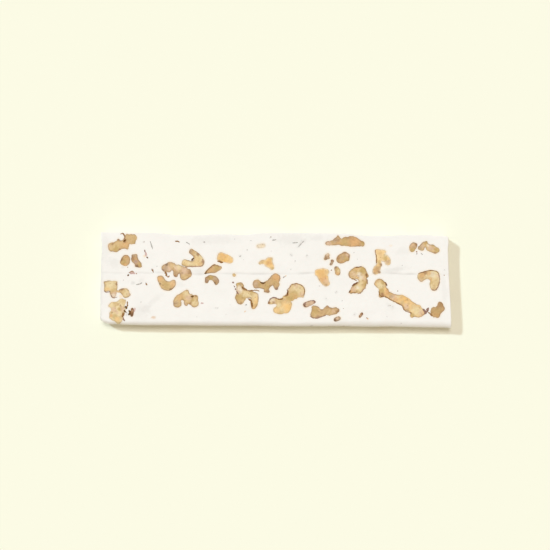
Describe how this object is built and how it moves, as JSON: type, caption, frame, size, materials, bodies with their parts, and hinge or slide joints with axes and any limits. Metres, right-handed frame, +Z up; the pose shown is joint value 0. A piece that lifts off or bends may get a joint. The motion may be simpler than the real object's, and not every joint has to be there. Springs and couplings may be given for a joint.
{
  "type": "nougat slice",
  "caption": "Flat oblong slice of soft white nougat with walnut pieces cut flush on its faces and a fine seam along its length.",
  "frame": {"origin": "middle of the slice on its lower face, where it rests", "axes": "+X along the length, +Y across the width, +Z up through the thickness"},
  "size_m": [0.1544, 0.0416, 0.0101],
  "materials": {
    "nougat": "soft matt white nougat with a faint sheen",
    "walnut_tan": "cut walnut, golden tan, matt",
    "walnut_pale": "cut walnut, pale cream gold, matt",
    "walnut_honey": "cut walnut veiled by nougat, honey colour, slightly satin",
    "walnut_brown": "cut walnut with skin, brown tan, matt"
  },
  "bodies": {
    "root": {"walnut_saddle": "walnut_tan", "walnut_egg": "walnut_tan", "walnut_peg": "walnut_brown", "walnut_block": "walnut_pale", "walnut_diamond": "walnut_tan", "walnut_cluster": "walnut_pale", "walnut_bead": "walnut_brown", "walnut_twin": "walnut_tan", "walnut_crescent": "walnut_tan", "walnut_hook_left": "walnut_pale", "walnut_leaf": "walnut_brown", "walnut_arch": "walnut_brown", "walnut_slipper": "walnut_honey", "walnut_wishbone": "walnut_tan", "walnut_dot": "walnut_honey", "walnut_two_legged": "walnut_pale", "walnut_strider": "walnut_tan", "walnut_great": "walnut_honey", "walnut_fleck": "walnut_honey", "walnut_ladle": "walnut_honey", "walnut_shield": "walnut_honey", "walnut_crumb": "walnut_brown", "walnut_chip": "walnut_brown", "walnut_oval": "walnut_tan", "walnut_bud": "walnut_honey", "walnut_long_far": "walnut_tan", "walnut_seahorse": "walnut_pale", "walnut_fork": "walnut_honey", "walnut_branch": "walnut_honey", "walnut_caramel": "walnut_brown", "walnut_round": "walnut_tan", "walnut_bridge": "walnut_tan", "walnut_hook_right": "walnut_pale", "walnut_comma": "walnut_brown", "walnut_boot": "walnut_tan", "walnut_ring": "walnut_brown", "walnut_sliver": "walnut_brown", "walnut_under_hook": "walnut_pale", "walnut_under_oval": "walnut_tan", "walnut_under_arch": "walnut_brown", "walnut_under_boot": "walnut_tan", "walnut_under_fork": "walnut_honey", "walnut_under_slipper": "walnut_honey", "walnut_under_crescent": "walnut_tan", "walnut_under_shield": "walnut_honey", "walnut_under_wishbone": "walnut_tan", "walnut_under_egg": "walnut_tan", "walnut_near_left": "walnut_honey", "walnut_near_middle": "walnut_tan", "walnut_near_right": "walnut_honey", "walnut_far_left": "walnut_brown", "walnut_far_middle": "walnut_tan", "walnut_far_right": "walnut_honey", "walnut_end_left": "walnut_brown", "walnut_end_right": "walnut_tan", "nougat": "nougat"}
  },
  "joints": []
}
